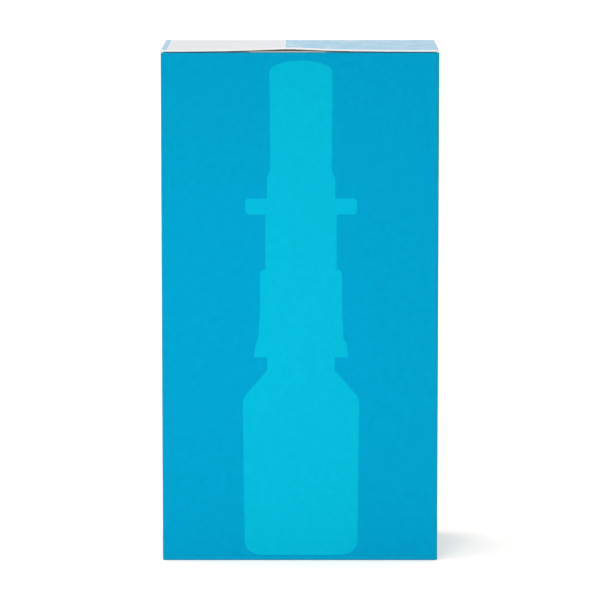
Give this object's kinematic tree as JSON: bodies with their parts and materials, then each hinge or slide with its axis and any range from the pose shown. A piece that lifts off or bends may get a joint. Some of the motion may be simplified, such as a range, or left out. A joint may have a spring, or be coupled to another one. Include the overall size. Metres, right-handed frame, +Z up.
{
  "type": "carton of pump spray bottles",
  "caption": "Upright glued folding carton with hinged top flaps, packed with capped pump spray bottles that have a finger flange, snap collar, metering pump and dip tube, and a folded leaflet.",
  "frame": {"origin": "middle of the face that the carton stands on", "axes": "+Z up along the carton's height, -Y out of the front panel, +X to the right as seen from the front"},
  "size_m": [0.064, 0.036, 0.1196],
  "materials": {
    "printed_board": "satin print on white board",
    "plain_board": "uncoated inside of white board",
    "glue": "set hot glue",
    "leaflet_paper": "thin uncoated paper",
    "amber_glass": "moulded glass",
    "solution": "clear liquid",
    "white_plastic": "moulded, satin",
    "natural_plastic": "milky, moulded",
    "gasket_rubber": "matt",
    "steel": "drawn and polished",
    "cap_plastic": "moulded, glossy"
  },
  "bodies": {
    "carton": {"carton_sleeve": "printed_board", "bottom_outer_flap": "printed_board", "bottom_inner_flap": "plain_board", "bottom_left_dust_flap": "plain_board", "bottom_right_dust_flap": "plain_board", "bottom_glue_spots": "glue", "folded_leaflet": "leaflet_paper", "left_bottle": "amber_glass", "left_solution": "solution", "left_collar": "white_plastic", "left_gasket": "gasket_rubber", "left_pump_body": "natural_plastic", "left_stem_guide": "white_plastic", "left_dip_tube": "natural_plastic", "left_return_spring": "steel", "right_bottle": "amber_glass", "right_solution": "solution", "right_collar": "white_plastic", "right_gasket": "gasket_rubber", "right_pump_body": "natural_plastic", "right_stem_guide": "white_plastic", "right_dip_tube": "natural_plastic", "right_return_spring": "steel"},
    "lid": {"top_outer_flap": "printed_board"},
    "inner_flap": {"top_inner_flap": "plain_board", "top_glue_spots": "glue"},
    "left_dust_flap": {"top_left_dust_flap": "plain_board"},
    "right_dust_flap": {"top_right_dust_flap": "plain_board"},
    "left_sprayer": {"left_piston": "white_plastic", "left_stem": "white_plastic", "left_nozzle": "white_plastic", "left_spray_insert": "natural_plastic", "left_cap": "cap_plastic"},
    "left_valve": {"left_check_ball": "steel"},
    "right_sprayer": {"right_piston": "white_plastic", "right_stem": "white_plastic", "right_nozzle": "white_plastic", "right_spray_insert": "natural_plastic", "right_cap": "cap_plastic"},
    "right_valve": {"right_check_ball": "steel"}
  },
  "joints": [
    {"name": "lid_hinge", "type": "hinge", "parent": "carton", "child": "lid", "pos_m": [0, 0.01798, 0.11902], "axis": [-1, 0, 0], "range_deg": [0, 200]},
    {"name": "inner_flap_hinge", "type": "hinge", "parent": "carton", "child": "inner_flap", "pos_m": [0, -0.01798, 0.1185], "axis": [1, 0, 0], "range_deg": [0, 180]},
    {"name": "left_dust_flap_hinge", "type": "hinge", "parent": "carton", "child": "left_dust_flap", "pos_m": [-0.032, 0, 0.11798], "axis": [0, -1, 0], "range_deg": [0, 100]},
    {"name": "right_dust_flap_hinge", "type": "hinge", "parent": "carton", "child": "right_dust_flap", "pos_m": [0.032, 0, 0.11798], "axis": [0, 1, 0], "range_deg": [0, 100]},
    {"name": "left_spray_press", "type": "slide", "parent": "carton", "child": "left_sprayer", "axis": [0, 0, -1], "range_m": [0, 0.005], "stiffness_N_per_m": 250, "springref_m": -0.004, "deforming": ["left_return_spring"]},
    {"name": "left_valve_lift", "type": "slide", "parent": "carton", "child": "left_valve", "axis": [0, 0, 1], "range_m": [0, 0.0006]},
    {"name": "right_spray_press", "type": "slide", "parent": "carton", "child": "right_sprayer", "axis": [0, 0, -1], "range_m": [0, 0.005], "stiffness_N_per_m": 250, "springref_m": -0.004, "deforming": ["right_return_spring"]},
    {"name": "right_valve_lift", "type": "slide", "parent": "carton", "child": "right_valve", "axis": [0, 0, 1], "range_m": [0, 0.0006]}
  ],
  "couplings": [
    {"joint": "inner_flap_hinge", "follows": "lid_hinge", "ratio": 0.9},
    {"joint": "left_dust_flap_hinge", "follows": "lid_hinge", "ratio": 0.5},
    {"joint": "right_dust_flap_hinge", "follows": "lid_hinge", "ratio": 0.5}
  ]
}
